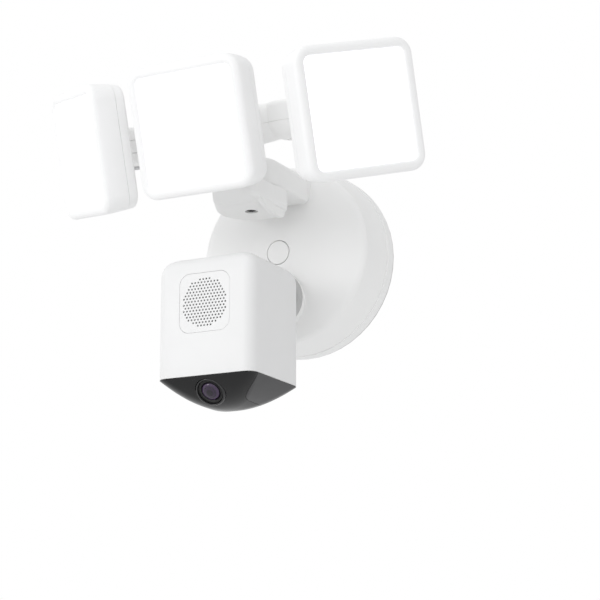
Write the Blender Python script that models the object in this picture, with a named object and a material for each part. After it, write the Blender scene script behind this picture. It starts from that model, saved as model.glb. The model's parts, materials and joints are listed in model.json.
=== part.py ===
"""Three-head floodlight security camera on a round wall base, modelled in millimetres and scaled to metres."""
import math

import bmesh
import bpy
from mathutils import Matrix, Vector

MM = 0.001
TAU = 2.0 * math.pi

# Wall base: distances count outward from the wall.
BASE_R = 75.0
SKIRT_OUT = 11.0
SEAM = 0.3
POST_R = 58.0
POST_ANGLES = (2.0, 128.0, 232.0)
WIRE_Z = 30.0
BRACKET_SLOT_X = 44.45

# Light arm and the hub that turns under it.
ARM_HALF = 25.0
ARM_BOTTOM = 37.0
ARM_TOP = 59.8
ARM_REAR = 51.1
PAN_Y = -95.0
HUB_BOTTOM = 21.7
HUB_TOP = 36.6
TILT_Y = -128.6
TILT_Z = 47.9

# Light bar and heads: the bar frame leans down by PITCH.
PITCH = math.radians(17.87)
BAR_ORIGIN = (0.0, -129.0, 75.1)
SIDE_X = 84.4
CENTRE_FORWARD = 13.2
CENTRE_LIFT = 4.8
SLOT_HALF = 5.0
HUB_NOSE_LEFT = 11.0
BULGE_X = 58.0
BULGE = {1: ((17.5, 0.5), (17.5, 11.6), (16.6, 13.6), (14.0, 14.6), (0.0, 14.6)),
         -1: ((17.2, 0.5), (17.0, 3.0), (15.4, 7.2), (12.6, 10.6), (8.8, 13.0), (4.4, 14.2), (0.0, 14.2))}
EAR_HALF = 4.7
HEAD_YAW = {"right": math.radians(53.9), "centre": math.radians(-3.9), "left": math.radians(-39.2)}
HEAD_HALF = 48.5
HEAD_BACK_HALF = 46.4
HEAD_BACK = 18.0
HEAD_SEAM = 26.3
HEAD_FRONT = 45.5
HEAD_CORNER = 12.5

# Camera.
CAM_HALF_X = 39.6
CAM_FRONT = -165.0
CAM_REAR = -92.0
CAM_BOTTOM = -116.7
CAM_TOP = -26.4
CAM_MID_Y = 0.5 * (CAM_FRONT + CAM_REAR)
CAM_HALF_Y = 0.5 * (CAM_REAR - CAM_FRONT)
CAM_CORNER = 8.0
DOME_DROP = 19.3
DOME_FULLNESS = 2.2
DOME_WALL = 2.2
SHOULDER_Y = -156.5
TONGUE = ((36.0, -154.3), (31.0, -151.2), (26.0, -147.3), (22.0, -142.5), (20.2, -136.0), (20.0, -128.0),
          (19.6, -120.0), (17.5, -112.0), (13.0, -107.0), (7.0, -105.5))
TONGUE_END_Y = -105.0
BOSS_Z = -38.0
BOSS_R = 21.5
SWIVEL_Y = -68.0
CAM_TILT_Y = -84.0
LENS_AT = (0.0, -153.6, -126.2)
LENS_DOWN = math.radians(40.0)
GRILLE_MID_Z = -63.3

THIN_BODIES = ("mounting_bracket", "base_back_plate", "base_front_housing")

MATERIALS = {
    "white_shell": ((0.86, 0.86, 0.86, 1.0), 0.42, 0.0),
    "lamp_diffuser": ((0.95, 0.96, 1.0, 1.0), 0.35, 0.0),
    "dark_window": ((0.02, 0.02, 0.022, 1.0), 0.08, 0.0),
    "pir_plastic": ((0.09, 0.09, 0.095, 1.0), 0.3, 0.0),
    "lens_black": ((0.015, 0.015, 0.016, 1.0), 0.35, 0.0),
    "lens_glass": ((0.12, 0.08, 0.16, 1.0), 0.03, 0.0),
    "steel": ((0.62, 0.62, 0.63, 1.0), 0.32, 1.0),
    "board_green": ((0.03, 0.2, 0.08, 1.0), 0.5, 0.0),
    "rubber_grey": ((0.2, 0.2, 0.2, 1.0), 0.85, 0.0),
    "component_dark": ((0.05, 0.05, 0.055, 1.0), 0.5, 0.0),
}


def clear_scene():
    for found in list(bpy.data.objects):
        bpy.data.objects.remove(found, do_unlink=True)


def make_materials():
    made = {}
    for name, (colour, rough, metal) in MATERIALS.items():
        material = bpy.data.materials.new(name)
        material.use_nodes = True
        shader = material.node_tree.nodes["Principled BSDF"]
        shader.inputs["Base Color"].default_value = colour
        shader.inputs["Roughness"].default_value = rough
        shader.inputs["Metallic"].default_value = metal
        made[name] = material
    return made


def frame(origin=(0.0, 0.0, 0.0), turn=None):
    spot = Matrix.Translation(Vector(origin) * MM)
    return spot @ turn.to_4x4() if turn is not None else spot


def axes(x_dir, y_dir, z_dir):
    return Matrix((x_dir, y_dir, z_dir)).transposed()


OUTWARD = axes((1, 0, 0), (0, 0, 1), (0, -1, 0))
SIDEWAYS = axes((0, 1, 0), (0, 0, 1), (1, 0, 0))
WALL = frame(turn=OUTWARD)


def rounded_rect(half_x, half_y, corner, steps=3):
    points = []
    for quarter, (sx, sy) in enumerate(((1, 1), (-1, 1), (-1, -1), (1, -1))):
        for step in range(steps + 1):
            angle = (quarter + step / steps) * math.pi / 2.0
            points.append((sx * (half_x - corner) + corner * math.cos(angle),
                           sy * (half_y - corner) + corner * math.sin(angle)))
    return points


def ring_at(half_x, half_y, corner, height, centre=(0.0, 0.0), steps=3):
    flat = rounded_rect(half_x, half_y, max(corner, 0.6), steps)
    return [(x + centre[0], y + centre[1], height) for x, y in flat]


def circle(radius, count, centre=(0.0, 0.0)):
    return [(centre[0] + radius * math.cos(TAU * i / count),
             centre[1] + radius * math.sin(TAU * i / count)) for i in range(count)]


def finish(name, mesh, place, material, sharp_deg=35.0):
    made = bpy.data.objects.new(name, mesh)
    bpy.context.scene.collection.objects.link(made)
    made.matrix_world = place
    mesh.materials.append(material)
    mesh.shade_smooth()
    mesh.set_sharp_from_angle(angle=math.radians(sharp_deg))
    return made


def mesh_from_rings(name, rings, closed, place, material):
    build = bmesh.new()
    rows = []
    for ring in rings:
        if len(ring) == 1:
            pole = build.verts.new(Vector(ring[0]) * MM)
            rows.append([pole])
        else:
            rows.append([build.verts.new(Vector(p) * MM) for p in ring])
    pairs = list(zip(rows, rows[1:]))
    if closed:
        pairs.append((rows[-1], rows[0]))
    for low, high in pairs:
        count = max(len(low), len(high))
        for i in range(count):
            j = (i + 1) % count
            if len(low) == 1:
                build.faces.new((low[0], high[j], high[i]))
            elif len(high) == 1:
                build.faces.new((low[i], low[j], high[0]))
            else:
                build.faces.new((low[i], low[j], high[j], high[i]))
    if not closed:
        for end in (rows[0], rows[-1]):
            if len(end) > 1:
                build.faces.new(end)
    bmesh.ops.recalc_face_normals(build, faces=build.faces)
    mesh = bpy.data.meshes.new(name)
    build.to_mesh(mesh)
    build.free()
    return finish(name, mesh, place, material)


def lathe(name, profile, place, material, segments=24):
    rings = []
    for radius, height in profile:
        if radius == 0.0:
            rings.append([(0.0, 0.0, height)])
        else:
            rings.append([(x, y, height) for x, y in circle(radius, segments)])
    closed = profile[0][0] > 0.0 and profile[-1][0] > 0.0
    return mesh_from_rings(name, rings, closed, place, material)


def rod(name, radius, low, high, place, material, segments=24):
    profile = ((0.0, low), (radius, low), (radius, high), (0.0, high))
    return lathe(name, profile, place, material, segments)


def prism(name, outline, low, high, place, material):
    rings = [[(x, y, low) for x, y in outline], [(x, y, high) for x, y in outline]]
    return mesh_from_rings(name, rings, False, place, material)


def combine(body, other, operation):
    change = body.modifiers.new(other.name, "BOOLEAN")
    change.operation = operation
    change.object = other
    change.solver = "MANIFOLD" if body.name in THIN_BODIES else "EXACT"
    other.hide_render = True
    other.display_type = "WIRE"


def cut(body, other):
    combine(body, other, "DIFFERENCE")


def fuse(body, other):
    combine(body, other, "UNION")


def keep(body, other):
    combine(body, other, "INTERSECT")


def pan_head_screw(name, place, head_r, head_h, shank_r, length, material):
    """Screw whose head sits below zero and whose shank runs along local +Z."""
    profile = ((0.0, -head_h), (0.8 * head_r, -head_h), (head_r, -0.6 * head_h), (head_r, 0.0),
               (shank_r, 0.0), (shank_r, length), (0.0, length))
    return lathe(name, profile, place, material, 10)


def build_bracket(mats):
    steel = mats["steel"]
    bar = prism("mounting_bracket", rounded_rect(52.0, 11.0, 3.0, 3), 0.0, 2.5, WALL, steel)
    fuse(bar, rod("tool_bracket_boss", 6.0, 1.5, 9.5, WALL, steel))
    cut(bar, rod("tool_bracket_thread", 2.5, 2.0, 12.0, WALL, steel, 16))
    for side in (-1, 1):
        slot = [(x + side * BRACKET_SLOT_X, y) for x, y in rounded_rect(4.5, 2.5, 2.4, 4)]
        cut(bar, prism("tool_bracket_slot_%s" % ("l" if side < 0 else "r"), slot, -2.0, 5.0, WALL, steel))


def build_back_plate(mats):
    white = mats["white_shell"]
    lathe("base_gasket", ((70.9, 0.0), (74.5, 0.0), (74.5, 1.5), (70.9, 1.5)), WALL, mats["rubber_grey"], 48)
    profile = ((6.6, 4.5), (70.5, 4.5), (70.5, 1.8), (BASE_R - 0.5, 1.8), (BASE_R, 2.4), (BASE_R, 10.2),
               (BASE_R - 0.6, SKIRT_OUT), (71.5, SKIRT_OUT), (71.5, 7.0), (6.6, 7.0))
    plate = lathe("base_back_plate", profile, WALL, white, 56)
    for index, angle in enumerate((63.0, 183.0, 303.0)):
        spot = frame((38.0 * math.cos(math.radians(angle)), 0.0, 38.0 * math.sin(math.radians(angle))), OUTWARD)
        fuse(plate, rod("tool_standoff_%d" % index, 3.0, 6.0, 11.7, spot, white, 12))
    cut(plate, rod("tool_wire_hole", 8.5, 0.0, 12.0, frame((0.0, 0.0, WIRE_Z), OUTWARD), white))
    for index, angle in enumerate(POST_ANGLES):
        spot = frame((POST_R * math.cos(math.radians(angle)), 0.0, POST_R * math.sin(math.radians(angle))), OUTWARD)
        cut(plate, rod("tool_plate_screw_%d" % index, 2.0, 3.0, 9.0, spot, white, 12))
        screw = frame((POST_R * math.cos(math.radians(angle)), -4.2, POST_R * math.sin(math.radians(angle))), OUTWARD)
        pan_head_screw("base_screw_%d" % (index + 1), screw, 3.4, 2.0, 1.4, 15.0, mats["steel"])
    groove = ((5.5, 2.6), (11.0, 2.6), (11.0, 4.2), (8.1, 4.2), (8.1, 7.3), (10.5, 7.3), (10.5, 9.0), (5.5, 9.0))
    lathe("wire_grommet", groove, frame((0.0, 0.0, WIRE_Z), OUTWARD), mats["rubber_grey"], 24)


def build_front_housing(mats):
    white = mats["white_shell"]
    profile = ((74.2, 11.3), (74.0, 14.0), (72.7, 25.0), (71.0, 37.0), (70.2, 39.8), (68.6, 41.9), (66.0, 43.1),
               (50.0, 47.0), (30.0, 49.9), (9.8, 51.4), (9.8, 44.0), (3.0, 44.0), (3.0, 41.0), (12.8, 41.0),
               (12.8, 48.0), (30.0, 46.9), (50.0, 44.0), (64.5, 40.4), (67.2, 38.4), (68.0, 36.0), (71.2, 11.3))
    shell = lathe("base_front_housing", profile, WALL, white, 56)
    pad = [(x, y + 48.4) for x, y in rounded_rect(ARM_HALF, 11.2, 5.0, 4)]
    fuse(shell, prism("tool_arm_pad", pad, 42.0, ARM_REAR - SEAM, WALL, white))
    fuse(shell, rod("tool_boss_pad", BOSS_R, 42.0, 51.6, frame((0.0, 0.0, BOSS_Z), OUTWARD), white, 40))
    for index, angle in enumerate(POST_ANGLES):
        spot = frame((POST_R * math.cos(math.radians(angle)), 0.0, POST_R * math.sin(math.radians(angle))), OUTWARD)
        fuse(shell, rod("tool_post_%d" % index, 4.0, 7.3, 43.4, spot, white, 16))
        cut(shell, rod("tool_post_hole_%d" % index, 1.8, 5.0, 21.0, spot, white, 12))
    cut(shell, rod("tool_arm_wires", 6.0, 38.0, 54.0, frame((0.0, 0.0, 48.4), OUTWARD), white, 20))
    cut(shell, rod("tool_boss_wires", 5.0, 38.0, 54.0, frame((0.0, 0.0, BOSS_Z), OUTWARD), white, 20))
    for side in (-1, 1):
        tag = "l" if side < 0 else "r"
        arm_spot = frame((15.0 * side, 0.0, 48.4), OUTWARD)
        boss_spot = frame((13.0 * side, 0.0, BOSS_Z), OUTWARD)
        cut(shell, rod("tool_arm_screw_hole_" + tag, 2.4, 38.0, 54.0, arm_spot, white, 12))
        cut(shell, rod("tool_boss_screw_hole_" + tag, 2.4, 38.0, 54.0, boss_spot, white, 12))
    flipped = frame((0.0, -44.3, 0.0), axes((1, 0, 0), (0, 0, -1), (0, 1, 0)))
    pan_head_screw("centre_bolt", flipped, 4.8, 3.0, 2.0, 41.0, mats["steel"])
    cap = ((0.0, 48.0), (9.4, 48.0), (9.4, 51.4), (8.9, 51.8), (0.0, 52.0))
    lathe("screw_cap", cap, WALL, white, 32)


def build_power_supply(mats):
    board = prism("power_board", circle(46.0, 40), 12.0, 13.6, WALL, mats["board_green"])
    cut(board, rod("tool_board_bolt", 5.0, 10.0, 16.0, WALL, mats["board_green"], 16))
    cut(board, rod("tool_board_wires", 12.0, 10.0, 16.0, frame((0.0, 0.0, WIRE_Z), OUTWARD), mats["board_green"]))
    coil = [(x - 24.0, y - 22.0) for x, y in rounded_rect(13.0, 11.0, 2.0, 2)]
    prism("transformer", coil, 13.9, 32.0, WALL, mats["component_dark"])
    can = ((0.0, 13.9), (8.0, 13.9), (8.0, 35.0), (7.0, 36.0), (0.0, 36.0))
    lathe("bulk_capacitor", can, frame((24.0, 0.0, -24.0), OUTWARD), mats["component_dark"], 20)
    block = [(x + 30.0, y + 12.0) for x, y in rounded_rect(9.0, 6.0, 0.8, 1)]
    prism("terminal_block", block, 13.9, 25.0, WALL, mats["white_shell"])


def arm_ring(inset, height):
    count = 16
    reach = ARM_HALF - inset
    points = [(reach, -ARM_REAR, height)]
    for step in range(count + 1):
        angle = -math.pi * step / count
        points.append((reach * math.cos(angle), PAN_Y + reach * math.sin(angle), height))
    points.append((-reach, -ARM_REAR, height))
    return points


def build_arm(mats):
    white = mats["white_shell"]
    rings = [arm_ring(1.6, ARM_BOTTOM), arm_ring(0.0, ARM_BOTTOM + 1.8), arm_ring(0.0, 53.5),
             arm_ring(1.4, 57.0), arm_ring(4.2, 59.2), arm_ring(7.5, ARM_TOP)]
    arm = mesh_from_rings("light_arm", rings, False, frame(), white)
    cut(arm, rod("tool_arm_pivot", 2.8, 30.0, 51.5, frame((0.0, PAN_Y, 0.0)), white, 16))
    cut(arm, rod("tool_arm_duct", 6.0, 45.0, 82.0, frame((0.0, 0.0, 48.4), OUTWARD), white, 20))
    for side in (-1, 1):
        tag = "l" if side < 0 else "r"
        hole = frame((15.0 * side, 0.0, 48.4), OUTWARD)
        cut(arm, rod("tool_arm_thread_" + tag, 2.4, 45.0, 66.0, hole, white, 12))
        screw = frame((15.0 * side, -41.7, 48.4), OUTWARD)
        pan_head_screw("arm_screw_%d" % (1 if side < 0 else 2), screw, 3.8, 2.2, 2.0, 22.0, mats["steel"])


def build_camera_boss(mats):
    white = mats["white_shell"]
    rim = ((0.0, 51.9), (BOSS_R, 51.9), (BOSS_R, 56.0), (BOSS_R - 1.5, 57.5), (0.0, 57.5))
    boss = lathe("camera_boss", rim, frame((0.0, 0.0, BOSS_Z), OUTWARD), white, 40)
    tongue = [(9.0, 56.0), (9.0, -SWIVEL_Y)]
    tongue += [(9.0 * math.cos(math.pi * k / 8), -SWIVEL_Y + 9.0 * math.sin(math.pi * k / 8)) for k in range(1, 8)]
    tongue += [(-9.0, -SWIVEL_Y), (-9.0, 56.0)]
    flat = frame(turn=axes((1, 0, 0), (0, -1, 0), (0, 0, -1)))
    fuse(boss, prism("tool_boss_tongue", tongue, -BOSS_Z - 5.0, -BOSS_Z + 5.0, flat, white))
    cut(boss, rod("tool_boss_pin", 2.8, -60.0, -15.0, frame((0.0, SWIVEL_Y, 0.0)), white, 16))
    cut(boss, rod("tool_boss_duct", 4.0, 45.0, 54.0, frame((0.0, 0.0, BOSS_Z), OUTWARD), white, 16))
    for side in (-1, 1):
        tag = "l" if side < 0 else "r"
        hole = frame((13.0 * side, 0.0, BOSS_Z), OUTWARD)
        cut(boss, rod("tool_boss_thread_" + tag, 2.4, 45.0, 56.0, hole, white, 12))
        screw = frame((13.0 * side, -41.7, BOSS_Z), OUTWARD)
        pan_head_screw("boss_screw_%d" % (1 if side < 0 else 2), screw, 3.8, 2.2, 2.0, 13.0, mats["steel"])


def hub_ring(inset, height):
    count = 20
    round_r = 27.0 - inset
    side = 24.4 - inset
    front = -137.5 + inset
    start = math.acos(side / round_r)
    points = []
    for step in range(count + 1):
        angle = -start + (math.pi + 2.0 * start) * step / count
        points.append((round_r * math.cos(angle), PAN_Y + round_r * math.sin(angle), height))
    points += [(-HUB_NOSE_LEFT + inset, front, height),
               (side - 6.0, front, height), (side, front + 6.0, height)]
    return points


def build_hub(mats):
    white = mats["white_shell"]
    rings = [hub_ring(3.0, HUB_BOTTOM), hub_ring(0.8, 22.9), hub_ring(0.0, 25.0), hub_ring(0.0, HUB_TOP)]
    hub = mesh_from_rings("light_hub", rings, False, frame(), white)
    cheek = [(-86.0, 36.4), (-90.0, 17.5), (-94.0, 15.0), (-108.0, 14.6), (-120.0, 17.5), (-133.0, 28.0),
             (-134.0, 36.4)]
    fuse(hub, prism("tool_hub_cheek", cheek, 20.0, 24.0, frame(turn=SIDEWAYS), white))
    scoop = [(-119.0, 10.0), (-119.0, 21.2), (-125.0, 23.0), (-132.0, 27.0), (-139.0, 33.5), (-145.0, 33.5),
             (-145.0, 10.0)]
    cut(hub, prism("tool_hub_scoop", scoop, -40.0, 19.5, frame(turn=SIDEWAYS), white))
    upright = [(-121.6, 30.0), (-121.6, 52.5), (-124.0, 55.0), (-127.0, 56.2), (-130.5, 56.1), (-134.0, 54.4),
               (-136.6, 50.5), (-137.0, 46.0), (-137.2, 30.0)]
    fuse(hub, prism("tool_hub_upright", upright, -8.8, 8.8, frame(turn=SIDEWAYS), white))
    cut(hub, rod("tool_hub_tilt", 2.8, -30.0, 30.0, frame((0.0, TILT_Y, TILT_Z), SIDEWAYS), white, 16))
    cut(hub, rod("tool_hub_pivot", 2.8, 15.0, 40.0, frame((0.0, PAN_Y, 0.0)), white, 16))
    cut(hub, rod("tool_hub_recess", 5.0, 15.0, 25.0, frame((0.0, PAN_Y, 0.0)), white, 20))
    pan_head_screw("hub_pivot_screw", frame((0.0, PAN_Y, 24.8)), 4.3, 2.8, 2.3, 24.0, mats["steel"])
    pin = ((0.0, -17.5), (1.8, -17.5), (2.4, -16.9), (2.4, 16.9), (1.8, 17.5), (0.0, 17.5))
    lathe("bar_tilt_pin", pin, frame((0.0, TILT_Y, TILT_Z), SIDEWAYS), mats["steel"], 14)


def bar_frame(offset=(0.0, 0.0, 0.0)):
    lean = Matrix.Rotation(PITCH, 4, "X")
    return Matrix.Translation(Vector(BAR_ORIGIN) * MM) @ lean @ Matrix.Translation(Vector(offset) * MM)


def to_bar(y, z):
    point = Vector((0.0, y - BAR_ORIGIN[1], z - BAR_ORIGIN[2]))
    local = Matrix.Rotation(-PITCH, 3, "X") @ point
    return local.y, local.z


def bar_half(name, side, mats):
    """One half of the bar: side +1 is the upper shell, -1 the lower shell."""
    white = mats["white_shell"]
    levels = ((0.15, 0.0), (9.0, 0.0), (12.6, 1.6), (14.4, 4.0), (15.0, 7.0))
    beam = [ring_at(67.4 - inset, 9.9 - inset, 3.0 - 0.2 * inset, side * height) for height, inset in levels]
    half = mesh_from_rings(name, beam, False, bar_frame(), white)
    bulge = [(0.0, 0.5 * side)] + [(radius, side * height) for radius, height in BULGE[side]]
    for tag, x in (("right", BULGE_X), ("left", -BULGE_X)):
        fuse(half, lathe("tool_%s_bulge_%s" % (name, tag), bulge, bar_frame((x, 0.0, 0.0)), white, 28))
    centre = bar_frame((0.0, -CENTRE_FORWARD, 0.0))
    cut(half, rod("tool_%s_slot" % name, 16.6, -SLOT_HALF, SLOT_HALF, centre, white, 28))
    channel = [(x, y + 4.0) for x, y in rounded_rect(60.0, 4.0, 1.0, 1)]
    cut(half, prism("tool_%s_channel" % name, channel, -4.0, 4.0, bar_frame(), white))
    strap = [ring_at(79.0, 9.2 - inset, 2.0, side * height)
             for height, inset in ((SLOT_HALF + 0.05, 0.0), (9.5, 0.0), (12.9, 1.6), (14.7, 5.5))]
    fuse(half, mesh_from_rings("tool_%s_strap" % name, strap, False, bar_frame(), white))
    drum_levels = ((9.3, 0.0), (12.5, 1.5), (14.3, 3.8), (14.9, 6.6))
    for tag, x, y, radius in (("right", SIDE_X, 0.0, 15.0), ("left", -SIDE_X, 0.0, 15.0),
                              ("centre", 0.0, -CENTRE_FORWARD, 15.0)):
        low = side * (SLOT_HALF + 0.12)
        profile = [(2.9, low), (radius, low)]
        profile += [(radius - inset, side * height) for height, inset in drum_levels]
        if side > 0:
            profile = [(0.0, 11.0), (2.9, 11.0)] + profile + [(0.0, 14.9)]
        else:
            profile.append((2.9, -14.9))
        fuse(half, lathe("tool_%s_drum_%s" % (name, tag), profile, bar_frame((x, y, 0.0)), white, 20))
    return half


def build_bar(mats):
    white = mats["white_shell"]
    bar_half("bar_upper_shell", 1, mats)
    lower = bar_half("bar_lower_shell", -1, mats)
    pin_y, pin_z = to_bar(TILT_Y, TILT_Z)
    outline = [(pin_y + 7.0, -12.0), (pin_y + 9.0, pin_z)]
    outline += [(pin_y + 9.0 * math.cos(math.pi * k / 10), pin_z - 9.0 * math.sin(math.pi * k / 10))
                for k in range(1, 10)]
    outline += [(pin_y - 9.0, pin_z), (pin_y - 7.0, -12.0)]
    for side in (-1, 1):
        tag = "l" if side < 0 else "r"
        low, high = sorted((9.3 * side, 16.0 * side))
        spot = bar_frame() @ SIDEWAYS.to_4x4()
        fuse(lower, prism("tool_bar_ear_" + tag, outline, low, high, spot, white))
    hole = frame((0.0, TILT_Y, TILT_Z), SIDEWAYS)
    cut(lower, rod("tool_bar_tilt_hole", 2.8, -30.0, 30.0, hole, white, 16))
    for side in (-1, 1):
        index = 1 if side < 0 else 2
        for shell, depth in ((lower, 1), (bpy.data.objects["bar_upper_shell"], 2)):
            spot = bar_frame((52.0 * side, -4.5, 0.0))
            cut(shell, rod("tool_bar_screw_%d_%d" % (index, depth), 1.8, -9.5, 9.0, spot, white, 10))
        cut(lower, rod("tool_bar_sink_%d" % index, 3.4, -20.0, -9.0, bar_frame((52.0 * side, -4.5, 0.0)), white, 12))
        place = bar_frame((52.0 * side, -4.5, -9.3))
        pan_head_screw("bar_screw_%d" % index, place, 2.9, 2.0, 1.4, 16.0, mats["steel"])


def head_frame(which):
    x = {"right": SIDE_X, "centre": 0.0, "left": -SIDE_X}[which]
    y = -CENTRE_FORWARD if which == "centre" else 0.0
    return bar_frame((x, y, 0.0)) @ Matrix.Rotation(HEAD_YAW[which], 4, "Z")


def build_head(which, mats):
    white = mats["white_shell"]
    base = head_frame(which)
    lift = CENTRE_LIFT if which == "centre" else 0.0
    out = base @ Matrix.Translation(Vector((0.0, 0.0, lift * MM))) @ OUTWARD.to_4x4()
    shell = [(HEAD_BACK, -3.4), (18.8, -1.2), (20.8, 0.0), (HEAD_SEAM, 0.6)]
    rings = [ring_at(HEAD_BACK_HALF + grow, HEAD_BACK_HALF + grow, HEAD_CORNER + grow, level)
             for level, grow in shell]
    rings += [ring_at(44.2, 44.2, 10.0, HEAD_SEAM), ring_at(43.8, 43.8, 10.0, 20.8)]
    back = mesh_from_rings(which + "_head_back", rings, False, out, white)
    rim = ((0.0, 15.6), (14.2, 15.6), (15.0, 16.4), (15.0, 18.6), (0.0, 18.6))
    fuse(back, lathe("tool_%s_rim" % which, rim, base @ OUTWARD.to_4x4(), white, 28))
    ear = [(8.0 * math.cos(math.pi * k / 10), 8.0 * math.sin(math.pi * k / 10)) for k in range(11)]
    ear += [(-8.0, -18.6), (8.0, -18.6)]
    fuse(back, prism("tool_%s_ear" % which, ear, -EAR_HALF, EAR_HALF, base, white))
    cut(back, rod("tool_%s_ear_bore" % which, 2.9, -10.0, 10.0, base, white, 14))
    front = [(26.6, 47.0), (34.0, 47.9), (40.5, HEAD_HALF), (43.3, 48.1), (44.8, 46.9), (HEAD_FRONT, 44.9),
             (45.0, 42.0), (43.4, 40.8), (41.6, 40.8), (41.6, 44.4), (26.6, 44.4)]
    rings = [ring_at(size, size, size - HEAD_HALF + HEAD_CORNER, level) for level, size in front]
    mesh_from_rings(which + "_head_frame", rings, True, out, white)
    pane = [(38.6, 44.0), (41.3, 44.0), (41.3, 40.4), (44.3, 40.3), (45.0, 38.6), (45.3, 30.0)]
    rings = [ring_at(size, size, size - HEAD_HALF + HEAD_CORNER, level) for level, size in pane]
    mesh_from_rings(which + "_head_lens", rings, False, out, mats["lamp_diffuser"])
    prism(which + "_led_board", rounded_rect(42.0, 42.0, 6.0, 2), 30.0, 31.6, out, mats["board_green"])
    screw = base @ Matrix.Translation(Vector((0.0, 0.0, -15.2 * MM)))
    pan_head_screw(which + "_pivot_screw", screw, 4.4, 2.2, 2.4, 25.0, mats["steel"])


def build_swivel(mats):
    white = mats["white_shell"]
    flat = frame(turn=axes((1, 0, 0), (0, -1, 0), (0, 0, -1)))
    plan = [(9.0, 88.0), (9.0, -SWIVEL_Y)]
    plan += [(9.0 * math.cos(math.pi * k / 8), -SWIVEL_Y - 9.0 * math.sin(math.pi * k / 8)) for k in range(1, 8)]
    plan += [(-9.0, -SWIVEL_Y), (-9.0, 88.0)]
    block = prism("camera_swivel", plan, -BOSS_Z - 11.5, -BOSS_Z + 11.5, flat, white)
    gap = [(12.0, 50.0), (12.0, 77.6), (-12.0, 77.6), (-12.0, 50.0)]
    cut(block, prism("tool_swivel_gap", gap, -BOSS_Z - 5.3, -BOSS_Z + 5.3, flat, white))
    barrel = frame((0.0, CAM_TILT_Y, BOSS_Z), SIDEWAYS)
    fuse(block, rod("tool_swivel_barrel", 7.0, -13.8, 13.8, barrel, white))
    trim = [(12.0, 85.5), (12.0, 95.0), (-12.0, 95.0), (-12.0, 85.5)]
    cut(block, prism("tool_swivel_trim_up", trim, -BOSS_Z - 14.0, -BOSS_Z - 6.6, flat, white))
    cut(block, prism("tool_swivel_trim_low", trim, -BOSS_Z + 6.6, -BOSS_Z + 14.0, flat, white))
    cut(block, rod("tool_swivel_bore", 2.8, -60.0, -15.0, frame((0.0, SWIVEL_Y, 0.0)), white, 16))
    cut(block, rod("tool_swivel_cross", 2.8, -30.0, 30.0, barrel, white, 16))
    pin = ((0.0, -10.8), (1.8, -10.8), (2.4, -10.2), (2.4, 10.2), (1.8, 10.8), (0.0, 10.8))
    lathe("swivel_pin", pin, frame((0.0, SWIVEL_Y, BOSS_Z)), mats["steel"], 14)
    long_pin = ((0.0, -19.6), (1.8, -19.6), (2.4, -19.0), (2.4, 19.0), (1.8, 19.6), (0.0, 19.6))
    lathe("camera_tilt_pin", long_pin, barrel, mats["steel"], 14)


def cam_ring(inset, height):
    return ring_at(CAM_HALF_X - inset, CAM_HALF_Y - inset, CAM_CORNER - 0.4 * inset, height, (0.0, CAM_MID_Y))


def build_camera_shell(mats):
    white = mats["white_shell"]
    outer = [(0.0, CAM_BOTTOM), (0.0, -41.0), (0.9, -34.8), (3.4, -30.5), (7.0, -27.9), (13.0, CAM_TOP)]
    inner = [(2.5, CAM_BOTTOM), (2.5, -42.0), (4.5, -35.6), (9.0, -31.2), (14.0, -29.4)]
    rings = [cam_ring(inset, height) for inset, height in reversed(outer)]
    rings += [cam_ring(inset, height) for inset, height in inner]
    shell = mesh_from_rings("camera_shell", rings, False, frame(), white)
    window = [(x, y - 73.5) for x, y in rounded_rect(28.0, 31.5, 4.0, 3)]
    cut(shell, prism("tool_rear_window", window, 88.0, 98.0, WALL, white))
    face = [(x, y + GRILLE_MID_Z) for x, y in rounded_rect(20.8, 22.0, 8.3, 4)]
    cut(shell, prism("tool_grille_window", face, 160.0, 168.0, WALL, white))
    cover_out = [(x, y - 73.5) for x, y in rounded_rect(27.7, 31.2, 3.7, 3)]
    flange_out = [(x, y - 75.0) for x, y in rounded_rect(31.0, 32.4, 4.0, 3)]
    cover = prism("camera_rear_cover", cover_out, 92.2, 96.0, WALL, white)
    fuse(cover, prism("tool_cover_flange", flange_out, 95.2, 97.0, WALL, white))
    lug = [(-93.6, -47.5), (CAM_TILT_Y, BOSS_Z - 7.6)]
    lug += [(CAM_TILT_Y + 7.6 * math.sin(math.pi * k / 8), BOSS_Z - 7.6 * math.cos(math.pi * k / 8))
            for k in range(1, 8)]
    lug += [(CAM_TILT_Y, BOSS_Z + 7.6), (-88.0, BOSS_Z + 6.5), (-91.6, -44.4), (-93.6, -44.4)]
    for side in (-1, 1):
        low, high = sorted((14.2 * side, 20.2 * side))
        fuse(cover, prism("tool_cover_lug_%s" % ("l" if side < 0 else "r"), lug, low, high,
                          frame(turn=SIDEWAYS), white))
    cut(cover, rod("tool_cover_cross", 2.8, -30.0, 30.0, frame((0.0, CAM_TILT_Y, BOSS_Z), SIDEWAYS), white, 16))
    button_at = frame((0.0, 0.0, -96.0), OUTWARD)
    cut(cover, rod("tool_button_hole", 3.4, 88.0, 99.0, button_at, white, 16))
    button = ((0.0, 91.2), (2.6, 91.2), (3.0, 91.6), (3.0, 97.2), (4.4, 97.2), (4.4, 98.2), (0.0, 98.2))
    lathe("setup_button", button, button_at, mats["rubber_grey"], 16)


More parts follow.
